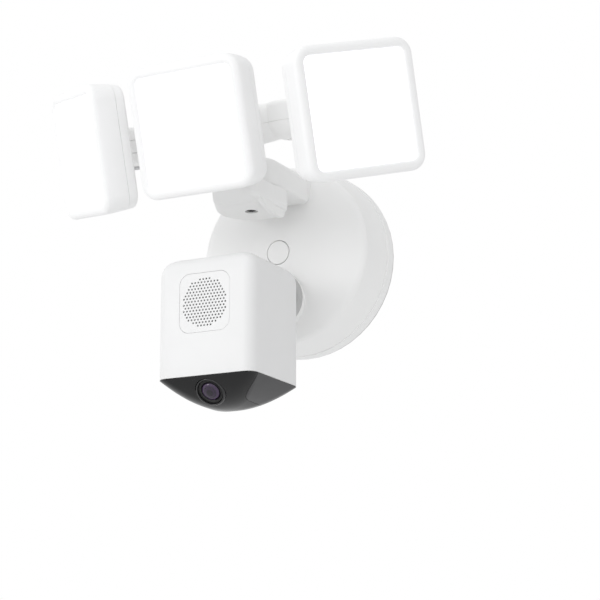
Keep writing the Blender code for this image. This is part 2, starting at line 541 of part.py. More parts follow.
def build_grille(mats):
    white = mats["white_shell"]
    face = [(x, y + GRILLE_MID_Z) for x, y in rounded_rect(20.5, 21.7, 8.0, 4)]
    plate = prism("speaker_grille", face, 162.9, 164.9, WALL, white)
    holes = bmesh.new()
    pitch = 5.2
    for row in range(-3, 4):
        for column in range(-3, 4):
            x = (column + 0.5 * (row % 2)) * pitch
            z = row * pitch * 0.866
            if math.hypot(x, z) > 17.0:
                continue
            top = [holes.verts.new(Vector((x + px, z + GRILLE_MID_Z + pz, 166.0)) * MM) for px, pz in circle(0.8, 6)]
            low = [holes.verts.new(Vector((x + px, z + GRILLE_MID_Z + pz, 161.0)) * MM) for px, pz in circle(0.8, 6)]
            holes.faces.new(top)
            holes.faces.new(low[::-1])
            for i in range(6):
                holes.faces.new((low[i], low[(i + 1) % 6], top[(i + 1) % 6], top[i]))
    bmesh.ops.recalc_face_normals(holes, faces=holes.faces)
    mesh = bpy.data.meshes.new("tool_grille_holes")
    holes.to_mesh(mesh)
    holes.free()
    cut(plate, finish("tool_grille_holes", mesh, WALL, white))
    cone = ((0.0, 152.0), (9.0, 150.0), (12.0, 150.0), (17.0, 158.5), (17.0, 161.6), (14.0, 161.6), (8.0, 158.0),
            (0.0, 159.4))
    lathe("speaker_driver", cone, frame((0.0, 0.0, GRILLE_MID_Z), OUTWARD), mats["component_dark"], 24)


def dome_ring(scale, lift=0.0):
    """Level line of the bottom dome: the footprint of the box at the rim, rounder towards the middle."""
    half_x = CAM_HALF_X * scale
    half_y = CAM_HALF_Y * scale
    corner = CAM_CORNER * scale
    corner += (min(half_x, half_y) - corner) * (1.0 - scale) * 0.9
    height = CAM_BOTTOM - SEAM - DOME_DROP * (1.0 - scale ** DOME_FULLNESS) + lift
    return ring_at(half_x, half_y, corner, height, (0.0, CAM_MID_Y), 5)


def dome_body(name, material):
    peak = CAM_BOTTOM - SEAM - DOME_DROP
    rings = [[(0.0, CAM_MID_Y, peak + DOME_WALL)]]
    rings += [dome_ring(scale, DOME_WALL) for scale in (0.2, 0.4, 0.6, 0.76, 0.88)]
    rings += [dome_ring(scale) for scale in (1.0, 0.91, 0.8, 0.66, 0.5, 0.32, 0.15)]
    rings.append([(0.0, CAM_MID_Y, peak)])
    return mesh_from_rings(name, rings, False, frame(), material)


def tongue(grow):
    """Plan of the window's rounded tongue, which reaches back between the two arms of the PIR lens."""
    points = [(50.0, SHOULDER_Y + grow), (CAM_HALF_X, SHOULDER_Y + grow)]
    side = [(x + grow, y) for x, y in TONGUE]
    points += side + [(0.0, TONGUE_END_Y + grow)] + [(-x, y) for x, y in reversed(side)]
    return points + [(-CAM_HALF_X, SHOULDER_Y + grow), (-50.0, SHOULDER_Y + grow)]


def build_dome(mats):
    dark = mats["dark_window"]
    front = dome_body("camera_window", dark)
    rear = dome_body("pir_lens", mats["pir_plastic"])
    keep_front = tongue(0.0) + [(-50.0, CAM_FRONT - 5.0), (50.0, CAM_FRONT - 5.0)]
    keep_rear = tongue(SEAM) + [(-50.0, CAM_REAR + 5.0), (50.0, CAM_REAR + 5.0)]
    keep(front, prism("tool_keep_front", keep_front, -145.0, -110.0, frame(), dark))
    keep(rear, prism("tool_keep_rear", keep_rear, -145.0, -110.0, frame(), dark))
    axis = (0.0, -math.cos(LENS_DOWN), -math.sin(LENS_DOWN))
    side = (1.0, 0.0, 0.0)
    third = tuple(Vector(axis).cross(Vector(side)))
    lens = frame(LENS_AT, axes(side, third, axis))
    cut(front, rod("tool_lens_hole_front", 11.9, -20.0, 20.0, lens, dark, 28))
    ring = ((9.7, -3.0), (11.5, -3.0), (11.5, 1.9), (11.0, 2.5), (10.1, 2.5), (9.7, 1.5))
    lathe("lens_ring", ring, lens, mats["lens_black"], 28)
    barrel = ((0.0, -12.0), (7.4, -12.0), (7.4, -4.0), (9.4, -4.0), (9.4, 1.2), (8.8, 1.8), (7.3, 0.2), (0.0, 0.2))
    lathe("lens_barrel", barrel, lens, mats["lens_black"], 24)
    glass = ((0.0, 0.5), (7.0, 0.5), (6.0, 1.6), (3.4, 2.6), (0.0, 2.95))
    lathe("lens_glass", glass, lens, mats["lens_glass"], 24)
    prism("sensor_board", rounded_rect(10.0, 8.0, 1.0, 1), -14.0, -12.4, lens, mats["board_green"])
    prism("main_board", [(x, y - 78.0) for x, y in rounded_rect(28.0, 26.0, 2.0, 1)], 101.0, 102.6, WALL,
          mats["board_green"])
    can = ((0.0, -5.0), (4.0, -5.0), (4.6, -4.4), (4.6, 0.0), (0.0, 0.0))
    for tag, x in (("left", -20.0), ("right", 20.0)):
        lathe("pir_sensor_" + tag, can, frame((x, -118.0, -113.0)), mats["steel"], 16)


def main():
    clear_scene()
    mats = make_materials()
    build_bracket(mats)
    build_back_plate(mats)
    build_front_housing(mats)
    build_power_supply(mats)
    build_arm(mats)
    build_camera_boss(mats)
    build_hub(mats)
    build_bar(mats)
    for which in ("left", "centre", "right"):
        build_head(which, mats)
    build_swivel(mats)
    build_camera_shell(mats)
    build_grille(mats)
    build_dome(mats)


main()
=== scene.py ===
"""Three-head floodlight security camera: the visual model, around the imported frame."""
import json
import math

import bmesh
import bpy
from mathutils import Matrix, Vector


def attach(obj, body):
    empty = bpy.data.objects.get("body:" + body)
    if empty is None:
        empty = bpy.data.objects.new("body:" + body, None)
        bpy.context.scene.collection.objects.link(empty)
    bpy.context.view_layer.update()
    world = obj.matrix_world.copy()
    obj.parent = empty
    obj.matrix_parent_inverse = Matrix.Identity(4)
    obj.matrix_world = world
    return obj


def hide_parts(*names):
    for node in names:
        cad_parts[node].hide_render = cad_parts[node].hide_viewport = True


MM = 0.001
TAU = 2.0 * math.pi

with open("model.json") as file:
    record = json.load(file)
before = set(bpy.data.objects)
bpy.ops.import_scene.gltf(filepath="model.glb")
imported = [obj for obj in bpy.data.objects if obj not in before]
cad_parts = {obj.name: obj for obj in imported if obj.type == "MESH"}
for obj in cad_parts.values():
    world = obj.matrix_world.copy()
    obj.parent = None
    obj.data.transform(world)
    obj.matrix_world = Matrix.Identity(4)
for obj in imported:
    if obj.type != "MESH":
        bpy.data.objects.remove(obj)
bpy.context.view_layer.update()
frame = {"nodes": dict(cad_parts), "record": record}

# Lengths are in millimetres, in the frame's axes: +X right, -Y out from the wall, +Z up.
PITCH = math.radians(17.87)
BAR_ORIGIN = (0.0, -129.0, 75.1)
SIDE_X = 84.4
CENTRE_FORWARD = 13.2
CENTRE_LIFT = 4.8
HEAD_YAW = {"right": math.radians(53.9), "centre": math.radians(-3.9), "left": math.radians(-39.2)}
PAN_Y = -95.0
ARM_HALF = 25.0
ARM_REAR = 51.1
TILT_Y = -128.6
TILT_Z = 47.9
CAM_HALF_X = 39.6
CAM_FRONT = -165.0
CAM_REAR = -92.0
CAM_BOTTOM = -116.7
CAM_MID_Y = 0.5 * (CAM_FRONT + CAM_REAR)
CAM_HALF_Y = 0.5 * (CAM_REAR - CAM_FRONT)
CAM_CORNER = 8.0
DOME_TOP = CAM_BOTTOM - 0.3
DOME_DROP = 19.3
DOME_FULLNESS = 2.2
SHOULDER_Y = -156.5
TONGUE = ((36.0, -154.3), (31.0, -151.2), (26.0, -147.3), (22.0, -142.5), (20.2, -136.0), (20.0, -128.0),
          (19.6, -120.0), (17.5, -112.0), (13.0, -107.0), (7.0, -105.5))
TONGUE_END_Y = -105.0
BOSS_Z = -38.0
BOSS_R = 21.5
LENS_AT = (0.0, -153.6, -126.2)
LENS_DOWN = math.radians(40.0)
BAR_NOTCH = 43.0
BULGE_X = 52.0
HUB_NOSE_LEFT = 11.0
BULGE = {1.0: ((17.5, 0.0), (17.5, 5.0), (17.5, 10.0), (17.2, 12.4), (16.0, 13.9), (13.6, 14.6), (8.0, 14.65),
               (0.0, 14.65)),
         -1.0: ((17.3, 0.0), (17.2, 2.6), (16.5, 5.6), (14.9, 8.8), (12.2, 11.7), (8.6, 13.9), (4.4, 15.1),
                (0.0, 15.5))}
BAR_SCREW_X = 52.0
BAR_SCREW_Y = -4.5
BAR_SINK_R = 3.4
SLOT_R = 16.6
SLOT_HALF = 5.0
TILT_HOLE_R = 2.8
TILT_EAR_R = 9.0
TILT_EAR_IN = 9.3
TILT_EAR_OUT = 16.0
SWIVEL_R = 14.5
SWIVEL_HALF = 4.7
HUB_ROUND_R = 27.0
HUB_SIDE = 24.4
HUB_FRONT = -137.5
HUB_CORNER = 6.0
HUB_SCREW_Z = 24.8
GRILLE_MID_Z = -63.3
GRILLE_PITCH = 2.62
GRILLE_FIELD = 18.2
GRILLE_HOLE_R = 0.76
GRILLE_HOLE_SIDES = 12
GRILLE_THICK = 1.9
GRILLE_BACK_Y = -163.0
HEX_ROW = 0.866
LENS_HOLE_R = 11.6
GLASS_R = 7.1

# The stage and the viewpoint are in metres.
WORLD_LEVEL = 0.91
WORLD_SLOPE = 0.33
WORLD_TOWARDS = (-0.42, -0.88, 0.2)
FLOOR_REACH = 6.0
FLOOR_LEVEL = -0.62
KEY_AT = (-1.0, -2.0, 0.14)
KEY_TARGET = (0.0, -0.12, 0.0)
KEY_SIZE = 0.56
KEY_POWER = 4.6
EYE_AT = (0.7072, -1.4013, -0.40455)
EYE_RIGHT = (0.8909, 0.4542, 0.0)
EYE_FORWARD = (-0.4416, 0.8661, 0.2341)
EYE_LENS = 122.6
EYE_SENSOR = 36.0


# ---------------------------------------------------------------- materials

def principled(name):
    material = bpy.data.materials.new(name)
    material.use_nodes = True
    tree = material.node_tree
    return material, tree, tree.nodes["Principled BSDF"]


def noise(tree, scale, detail=3.0, rough=0.55):
    coords = tree.nodes.new("ShaderNodeTexCoord")
    pattern = tree.nodes.new("ShaderNodeTexNoise")
    pattern.inputs["Scale"].default_value = scale
    pattern.inputs["Detail"].default_value = detail
    pattern.inputs["Roughness"].default_value = rough
    tree.links.new(coords.outputs["Object"], pattern.inputs["Vector"])
    return pattern.outputs["Fac"]


def ramp(tree, source, low, high, colour_a, colour_b):
    band = tree.nodes.new("ShaderNodeValToRGB")
    band.color_ramp.elements[0].position = low
    band.color_ramp.elements[1].position = high
    band.color_ramp.elements[0].color = colour_a
    band.color_ramp.elements[1].color = colour_b
    tree.links.new(source, band.inputs["Fac"])
    return band.outputs["Color"]


def spread(tree, source, low, high):
    mapped = tree.nodes.new("ShaderNodeMapRange")
    mapped.inputs["To Min"].default_value = low
    mapped.inputs["To Max"].default_value = high
    tree.links.new(source, mapped.inputs["Value"])
    return mapped.outputs["Result"]


def bump(tree, shader, source, strength, distance):
    node = tree.nodes.new("ShaderNodeBump")
    node.inputs["Strength"].default_value = strength
    node.inputs["Distance"].default_value = distance
    tree.links.new(source, node.inputs["Height"])
    tree.links.new(node.outputs["Normal"], shader.inputs["Normal"])


def grey(value):
    return (value, value, value, 1.0)


def plastic(name, colour, low_rough, high_rough, grain=2600.0, depth=0.06, coat=0.0, glow=0.0,
            gloss=0.5):
    """Moulded plastic: fine grain and slightly uneven gloss; glow is a painted glow, an emission that
    brightens the part though it is no lamp.
    """
    material, tree, shader = principled(name)
    shade = noise(tree, 18.0, 2.0)
    dim = tuple(0.985 * c for c in colour[:3]) + (1.0,)
    tree.links.new(ramp(tree, shade, 0.35, 0.65, dim, colour), shader.inputs["Base Color"])
    tree.links.new(spread(tree, noise(tree, 60.0), low_rough, high_rough), shader.inputs["Roughness"])
    shader.inputs["Specular IOR Level"].default_value = gloss
    shader.inputs["Coat Weight"].default_value = coat
    shader.inputs["Coat Roughness"].default_value = 0.08
    # Painted glow: emission in the plastic's own colour makes the part look brighter, as extra light would.
    if glow > 0.0:
        shader.inputs["Emission Color"].default_value = colour
        shader.inputs["Emission Strength"].default_value = glow
    bump(tree, shader, noise(tree, grain, 2.0), depth, 0.0001)
    return material


def metal(name, colour, rough, scratch=900.0):
    material, tree, shader = principled(name)
    shader.inputs["Metallic"].default_value = 1.0
    dim = tuple(0.86 * c for c in colour[:3]) + (1.0,)
    tree.links.new(ramp(tree, noise(tree, 220.0), 0.3, 0.7, dim, colour), shader.inputs["Base Color"])
    tree.links.new(spread(tree, noise(tree, scratch), rough * 0.8, rough * 1.25), shader.inputs["Roughness"])
    bump(tree, shader, noise(tree, scratch), 0.05, 0.0001)
    return material


def lamp_material():
    """Milky diffuser lit evenly from behind."""
    material, tree, shader = principled("lamp_diffuser")
    shader.inputs["Base Color"].default_value = (0.93, 0.94, 0.97, 1.0)
    shader.inputs["Roughness"].default_value = 0.32
    shader.inputs["Emission Color"].default_value = (0.965, 0.97, 1.0, 1.0)
    shader.inputs["Emission Strength"].default_value = 0.62
    bump(tree, shader, noise(tree, 1400.0, 2.0), 0.08, 0.0001)
    return material


def solder_mask():
    material, tree, shader = principled("board_green")
    coords = tree.nodes.new("ShaderNodeTexCoord")
    tracks = tree.nodes.new("ShaderNodeTexBrick")
    tracks.inputs["Scale"].default_value = 160.0
    tracks.inputs["Mortar Size"].default_value = 0.03
    tracks.inputs["Color1"].default_value = (0.02, 0.16, 0.06, 1.0)
    tracks.inputs["Color2"].default_value = (0.018, 0.13, 0.05, 1.0)
    tracks.inputs["Mortar"].default_value = (0.05, 0.3, 0.12, 1.0)
    tree.links.new(coords.outputs["Object"], tracks.inputs["Vector"])
    tree.links.new(tracks.outputs["Color"], shader.inputs["Base Color"])
    shader.inputs["Roughness"].default_value = 0.38
    return material


def lens_coating():
    """Deep coated glass: dark in the middle, with painted reflections: concentric violet bands, brightest
    towards the edge, stand in for the coating's reflection and the inner lens rings.
    """
    material, tree, shader = principled("lens_glass")
    coords = tree.nodes.new("ShaderNodeTexCoord")
    radial = tree.nodes.new("ShaderNodeVectorMath")
    radial.operation = "LENGTH"
    flatten = tree.nodes.new("ShaderNodeVectorMath")
    flatten.operation = "MULTIPLY"
    flatten.inputs[1].default_value = (1.0, 1.0, 0.0)
    tree.links.new(coords.outputs["Object"], flatten.inputs[0])
    tree.links.new(flatten.outputs[0], radial.inputs[0])
    scaled = tree.nodes.new("ShaderNodeMath")
    scaled.operation = "MULTIPLY"
    scaled.inputs[1].default_value = 1.0 / (GLASS_R * MM)
    tree.links.new(radial.outputs["Value"], scaled.inputs[0])
    painted_reflection_bands = tree.nodes.new("ShaderNodeValToRGB")
    # Painted reflection: the lighter violet rings are reflections painted into the base colour; the
    # near-black between them is the glass's own colour.
    reflection_stops = ((0.0, (0.001, 0.001, 0.002, 1.0)),
             (0.2, (0.008, 0.003, 0.014, 1.0)),
             (0.28, (0.003, 0.002, 0.005, 1.0)),
             (0.5, (0.03, 0.012, 0.045, 1.0)),
             (0.58, (0.008, 0.004, 0.014, 1.0)),
             (0.86, (0.06, 0.03, 0.085, 1.0)),
             (0.97, (0.008, 0.004, 0.012, 1.0)))
    painted_reflection_bands.color_ramp.elements[0].position = reflection_stops[0][0]
    painted_reflection_bands.color_ramp.elements[0].color = reflection_stops[0][1]
    painted_reflection_bands.color_ramp.elements[1].position = reflection_stops[-1][0]
    painted_reflection_bands.color_ramp.elements[1].color = reflection_stops[-1][1]
    for position, colour in reflection_stops[1:-1]:
        painted_reflection_bands.color_ramp.elements.new(position).color = colour
    tree.links.new(scaled.outputs[0], painted_reflection_bands.inputs["Fac"])
    tree.links.new(painted_reflection_bands.outputs["Color"], shader.inputs["Base Color"])
    shader.inputs["Roughness"].default_value = 0.05
    shader.inputs["Specular IOR Level"].default_value = 0.45
    shader.inputs["Coat Weight"].default_value = 0.25
    shader.inputs["Coat Roughness"].default_value = 0.02
    return material


WHITE = plastic("white_shell", (0.89, 0.89, 0.885, 1.0), 0.38, 0.48)
WHITE_BOX = plastic("white_camera", (0.80, 0.80, 0.80, 1.0), 0.36, 0.46)
# Head rims and bar: white plastic with a painted glow, a weak emission that makes them brighter though they
# are no lamps.
WHITE_RIM_PAINTED_GLOW = plastic("white_rim_painted_glow", (0.86, 0.86, 0.86, 1.0), 0.3, 0.38, glow=0.07)
WHITE_BAR_PAINTED_GLOW = plastic("white_bar_painted_glow", (0.89, 0.89, 0.885, 1.0), 0.36, 0.46, glow=0.08)
LAMP = lamp_material()
DARK = plastic("dark_window", (0.004, 0.004, 0.0045, 1.0), 0.1, 0.14, grain=300.0, depth=0.01,
               gloss=0.36)
PIR = plastic("pir_plastic", (0.03, 0.03, 0.032, 1.0), 0.28, 0.36, grain=1200.0, depth=0.03,
              coat=0.1, gloss=0.42)
BLACK = plastic("lens_black", (0.012, 0.012, 0.012, 1.0), 0.3, 0.4)
RING = plastic("lens_ring_gloss", (0.012, 0.012, 0.013, 1.0), 0.1, 0.16, grain=500.0,
               depth=0.01, coat=0.2)
GLASS = lens_coating()
STEEL = metal("steel", (0.62, 0.62, 0.63, 1.0), 0.3)
BOARD = solder_mask()
RUBBER = plastic("rubber_grey", (0.16, 0.16, 0.16, 1.0), 0.75, 0.9, grain=1500.0, depth=0.2)
COMPONENT = plastic("component_dark", (0.04, 0.04, 0.045, 1.0), 0.4, 0.6)
GASKET = plastic("gasket_pale", (0.62, 0.62, 0.61, 1.0), 0.7, 0.85, grain=1500.0, depth=0.2)
# Painted shade: the camera boss is painted mid grey to stand in for the shade that falls on it behind the
# box.
BOSS_PAINTED_SHADE = plastic("boss_painted_shade", (0.5, 0.5, 0.5, 1.0), 0.42, 0.52)

CAD_FINISH = {"white_shell": WHITE, "lamp_diffuser": LAMP, "dark_window": DARK, "pir_plastic": PIR,
              "lens_black": BLACK, "lens_glass": GLASS, "steel": STEEL, "board_green": BOARD,
              "rubber_grey": RUBBER, "component_dark": COMPONENT}
# The camera boss takes the painted-shade grey.
CAD_NODE_FINISH = {"base_gasket": GASKET, "camera_boss": BOSS_PAINTED_SHADE, "camera_rear_cover": WHITE_BOX}


# ---------------------------------------------------------------- geometry

def place(origin=(0.0, 0.0, 0.0), turn=None):
    spot = Matrix.Translation(Vector(origin) * MM)
    return spot @ turn.to_4x4() if turn is not None else spot


def axes(x_dir, y_dir, z_dir):
    return Matrix((x_dir, y_dir, z_dir)).transposed()


OUTWARD = axes((1, 0, 0), (0, 0, 1), (0, -1, 0))
SIDEWAYS = axes((0, 1, 0), (0, 0, 1), (1, 0, 0))
WALL = place(turn=OUTWARD)


def rounded_rect(half_x, half_y, corner, steps=10):
    points = []
    for quarter, (sx, sy) in enumerate(((1, 1), (-1, 1), (-1, -1), (1, -1))):
        for step in range(steps + 1):
            angle = (quarter + step / steps) * math.pi / 2.0
            points.append((sx * (half_x - corner) + corner * math.cos(angle),
                           sy * (half_y - corner) + corner * math.sin(angle)))
    return points


def ring_at(half_x, half_y, corner, height, centre=(0.0, 0.0), steps=10):
    flat = rounded_rect(half_x, half_y, max(corner, 0.4), steps)
    return [(x + centre[0], y + centre[1], height) for x, y in flat]


def circle(radius, count, centre=(0.0, 0.0)):
    return [(centre[0] + radius * math.cos(TAU * i / count),
             centre[1] + radius * math.sin(TAU * i / count)) for i in range(count)]


def finish(name, mesh, spot, material, sharp_deg=32.0):
    made = bpy.data.objects.new(name, mesh)
    bpy.context.scene.collection.objects.link(made)
    made.matrix_world = spot
    mesh.materials.append(material)
    mesh.shade_smooth()
    mesh.set_sharp_from_angle(angle=math.radians(sharp_deg))
    return made


def from_rings(name, rings, closed, spot, material, sharp_deg=32.0):
    build = bmesh.new()
    rows = [[build.verts.new(Vector(p) * MM) for p in ring] for ring in rings]
    pairs = list(zip(rows, rows[1:]))
    if closed:
        pairs.append((rows[-1], rows[0]))
    for low, high in pairs:
        count = max(len(low), len(high))
        for i in range(count):
            j = (i + 1) % count
            if len(low) == 1:
                build.faces.new((low[0], high[j], high[i]))
            elif len(high) == 1:
                build.faces.new((low[i], low[j], high[0]))
            else:
                build.faces.new((low[i], low[j], high[j], high[i]))
    if not closed:
        for end in (rows[0], rows[-1]):
            if len(end) > 1:
                build.faces.new(end)
    bmesh.ops.recalc_face_normals(build, faces=build.faces)
    mesh = bpy.data.meshes.new(name)
    build.to_mesh(mesh)
    build.free()
    return finish(name, mesh, spot, material, sharp_deg)


def lathe(name, profile, spot, material, segments=64, sharp_deg=32.0):
    rings = []
    for radius, height in profile:
        if radius == 0.0:
            rings.append([(0.0, 0.0, height)])
        else:
            rings.append([(x, y, height) for x, y in circle(radius, segments)])
    closed = profile[0][0] > 0.0 and profile[-1][0] > 0.0
    return from_rings(name, rings, closed, spot, material, sharp_deg)


def rod(name, radius, low, high, spot, material, segments=48):
    return lathe(name, ((0.0, low), (radius, low), (radius, high), (0.0, high)), spot, material, segments)


def prism(name, outline, low, high, spot, material):
    rings = [[(x, y, low) for x, y in outline], [(x, y, high) for x, y in outline]]
    return from_rings(name, rings, False, spot, material)


def smooth_curve(points, steps=6):
    """Catmull-Rom curve through the points, ends kept."""
    out = []
    for i in range(len(points) - 1):
        a = points[max(i - 1, 0)]
        b = points[i]
        c = points[i + 1]
        d = points[min(i + 2, len(points) - 1)]
        for step in range(steps):
            t = step / steps
            out.append(tuple(0.5 * (2 * q + (r - p) * t + (2 * p - 5 * q + 4 * r - s) * t * t
                                    + (3 * q - p - 3 * r + s) * t ** 3)
                             for p, q, r, s in zip(a, b, c, d)))
    out.append(points[-1])
    return out


def combine(body, other, operation):
    change = body.modifiers.new(other.name, "BOOLEAN")
    change.operation = operation
    change.object = other
    change.solver = "EXACT"
    other.hide_render = True
    other.hide_viewport = False
    other.display_type = "WIRE"


def bake(body, sharp_deg=32.0):
    """Applies the modifiers, drops the cutters and marks the sharp edges again."""
    bpy.context.view_layer.update()
    graph = bpy.context.evaluated_depsgraph_get()
    mesh = bpy.data.meshes.new_from_object(body.evaluated_get(graph))
    cutters = [m.object for m in body.modifiers if m.type == "BOOLEAN"]
    body.modifiers.clear()
    old = body.data
    body.data = mesh
    bpy.data.meshes.remove(old)
    for cutter in cutters:
        data = cutter.data
        bpy.data.objects.remove(cutter)
        bpy.data.meshes.remove(data)
    mesh.shade_smooth()
    mesh.set_sharp_from_angle(angle=math.radians(sharp_deg))
    return body


def soften(body, width, segments=3, angle=35.0):
    """Rounds the sharp edges."""
    bevel = body.modifiers.new("soften", "BEVEL")
    bevel.width = width * MM
    bevel.segments = segments
    bevel.limit_method = "ANGLE"
    bevel.angle_limit = math.radians(angle)
    bevel.harden_normals = False
    return body


def show(piece, body, material_slot, *nodes):
    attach(piece, body)
    if nodes:
        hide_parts(*nodes)
    return piece


# ---------------------------------------------------------------- wall base

def build_base():
    edge = smooth_curve([(71.0, 37.0), (70.7, 39.4), (69.3, 41.5), (66.4, 43.0), (60.0, 44.9), (50.0, 47.2),
                         (38.0, 49.1), (25.0, 50.4), (9.85, 51.4)], 5)
    profile = [(74.2, 11.2), (74.15, 12.0), (74.0, 14.0), (73.3, 20.0), (72.5, 26.0), (71.7, 32.0)] + edge
    profile += [(9.7, 51.25), (9.7, 46.0), (3.2, 46.0), (3.2, 41.5), (12.6, 41.5), (12.6, 47.6), (30.0, 46.4),
                (50.0, 43.5), (64.0, 40.0), (67.2, 37.0), (70.8, 11.6)]
    shell = lathe("base_front_housing_v", profile, WALL, WHITE, 160)
    show(shell, "wall_base", "white_shell", "base_front_housing")
    skirt = [(73.6, 11.22), (74.75, 11.2), (75.0, 10.95), (75.0, 2.3), (74.6, 1.9), (70.6, 1.9), (70.6, 4.5),
             (6.6, 4.5), (6.6, 7.0), (71.0, 7.0), (71.0, 11.22)]
    plate = lathe("base_back_plate_v", skirt, WALL, WHITE, 160)
    combine(plate, rod("cut_wire", 8.2, 0.0, 12.0, place((0.0, 0.0, 30.0), OUTWARD), WHITE), "DIFFERENCE")
    for angle in (2.0, 128.0, 232.0):
        turn = math.radians(angle)
        spot = place((58.0 * math.cos(turn), 0.0, 58.0 * math.sin(turn)), OUTWARD)
        combine(plate, rod("cut_plate_screw", 1.9, 3.0, 9.0, spot, WHITE, 24), "DIFFERENCE")
    bake(plate)
    show(plate, "wall_base", "white_shell", "base_back_plate")
    cap = smooth_curve([(9.3, 51.0), (9.15, 51.45), (8.6, 51.75), (4.0, 52.0)], 4)
    cap = [(0.0, 48.0), (9.3, 48.0)] + cap + [(0.0, 52.05)]
    show(lathe("screw_cap_v", cap, WALL, WHITE, 96), "wall_base", "white_shell", "screw_cap")
    pad = [ring_at(ARM_HALF + grow, 11.4 + grow, 5.0 + grow, level, (0.0, 48.4))
           for level, grow in ((42.0, 0.0), (50.4, 0.0), (50.8, -0.4))]
    show(from_rings("arm_pad", pad, False, WALL, WHITE), "wall_base", "white_shell")
    boss_pad = ((0.0, 42.0), (BOSS_R, 42.0), (BOSS_R, 51.2), (BOSS_R - 0.4, 51.6), (0.0, 51.6))
    raised = lathe("boss_pad", boss_pad, place((0.0, 0.0, BOSS_Z), OUTWARD), WHITE, 96)
    show(raised, "wall_base", "white_shell")


def arm_ring(inset, height, rear_inset=0.0):
    count = 48
    reach = ARM_HALF - inset
    points = [(reach, -ARM_REAR - rear_inset, height)]
    for step in range(count + 1):
        angle = -math.pi * step / count
        points.append((reach * math.cos(angle), PAN_Y + reach * math.sin(angle), height))
    points.append((-reach, -ARM_REAR - rear_inset, height))
    return points


def build_arm():
    levels = smooth_curve([(2.6, 37.05), (0.9, 37.6), (0.0, 39.2), (0.0, 46.0), (0.0, 51.5), (0.6, 54.6),
                           (2.4, 57.4), (5.2, 59.2), (9.0, 59.8)], 5)
    rings = [arm_ring(inset, height) for inset, height in levels]
    arm = from_rings("light_arm_v", rings, False, place(), WHITE, 50.0)
    show(arm, "wall_base", "white_shell", "light_arm")


# ---------------------------------------------------------------- hub

def hub_ring(inset, height):
    """Level line of the hub: round at the rear, tapered to the left front, square at the right."""
    count = 64
    round_r = HUB_ROUND_R - inset
    side = HUB_SIDE - inset
    front = HUB_FRONT + inset
    start = math.acos(side / round_r)
    points = []
    for step in range(count + 1):
        angle = -start + (math.pi + 2.0 * start) * step / count
        points.append((round_r * math.cos(angle), PAN_Y + round_r * math.sin(angle), height))
    for step in range(9):
        angle = 1.1 * math.pi + 0.4 * math.pi * step / 8
        points.append((4.0 * math.cos(angle) - HUB_NOSE_LEFT + 3.0 + inset,
                       front + 4.0 + 4.0 * math.sin(angle), height))
    for step in range(9):
        angle = 1.5 * math.pi + 0.5 * math.pi * step / 8
        points.append((side - HUB_CORNER + HUB_CORNER * math.cos(angle),
                       front + HUB_CORNER + HUB_CORNER * math.sin(angle), height))
    return points


def build_hub():
    levels = smooth_curve([(3.2, 21.7), (1.6, 22.2), (0.5, 23.6), (0.0, 25.6), (0.0, 36.6)], 4)
    hub = from_rings("light_hub_v", [hub_ring(i, h) for i, h in levels], False, place(), WHITE, 50.0)
    scoop = smooth_curve([(-112.0, 10.0), (-116.0, 21.0), (-122.0, 22.6), (-130.0, 27.0), (-138.0, 33.0),
                          (-146.0, 34.0)], 6)
    scoop += [(-146.0, 10.0)]
    combine(hub, prism("cut_scoop", scoop, -40.0, 19.8, place(turn=SIDEWAYS), WHITE), "DIFFERENCE")
    combine(hub, rod("cut_recess", 4.9, 15.0, 25.0, place((0.0, PAN_Y, 0.0)), WHITE), "DIFFERENCE")
    bake(hub, 40.0)
    show(hub, "light_hub", "white_shell", "light_hub")
    cheek = smooth_curve([(-89.4, 36.4), (-87.3, 35.5), (-86.3, 33.0), (-86.2, 27.0), (-86.2, 21.0),
                          (-86.8, 18.0), (-88.8, 15.8), (-92.5, 14.9), (-98.0, 14.8), (-105.0, 15.3),
                          (-113.0, 16.9), (-121.0, 20.2), (-128.0, 25.0), (-134.0, 31.5)], 3)
    cheek.append((-134.0, 36.4))
    plate = prism("hub_cheek", cheek, 20.0, 24.0, place(turn=SIDEWAYS), WHITE)
    soften(plate, 0.5, 3)
    show(plate, "light_hub", "white_shell")
    upright = [(-121.6, 30.0), (-121.6, 52.5), (-124.0, 55.0), (-127.0, 56.2), (-130.5, 56.1), (-134.0, 54.4),
               (-136.6, 50.5), (-137.0, 46.0), (-137.2, 30.0)]
    tower = prism("hub_upright", upright, -8.8, 8.8, place(turn=SIDEWAYS), WHITE)
    soften(tower, 1.0, 3)
    show(tower, "light_hub", "white_shell")


def phillips(name, spot, radius, height, body, node, material=None):
    """Crowned cross-recess screw head; its rim is at zero and the crown points along local -Z."""
    profile = smooth_curve([(radius, 0.0), (radius * 0.98, -height * 0.45), (radius * 0.75, -height * 0.85),
                            (radius * 0.3, -height)], 5)
    head = lathe(name, [(0.0, 0.0)] + profile + [(0.0, -height)], spot, material or STEEL, 40)
    for quarter in (0.0, 0.5 * math.pi):
        turn = spot @ Matrix.Rotation(quarter, 4, "Z")
        outline = rounded_rect(radius * 0.62, radius * 0.13, radius * 0.05, 2)
        combine(head, prism("cut_" + name, outline, -height - 1.0, -height * 0.35, turn, STEEL), "DIFFERENCE")
    bake(head)
    return show(head, body, "steel", *node)


# ---------------------------------------------------------------- light bar

def bar_place(offset=(0.0, 0.0, 0.0)):
    lean = Matrix.Rotation(PITCH, 4, "X")
    return Matrix.Translation(Vector(BAR_ORIGIN) * MM) @ lean @ Matrix.Translation(Vector(offset) * MM)


def head_place(which):
    x = {"right": SIDE_X, "centre": 0.0, "left": -SIDE_X}[which]
    y = -CENTRE_FORWARD if which == "centre" else 0.0
    return bar_place((x, y, 0.0)) @ Matrix.Rotation(HEAD_YAW[which], 4, "Z")


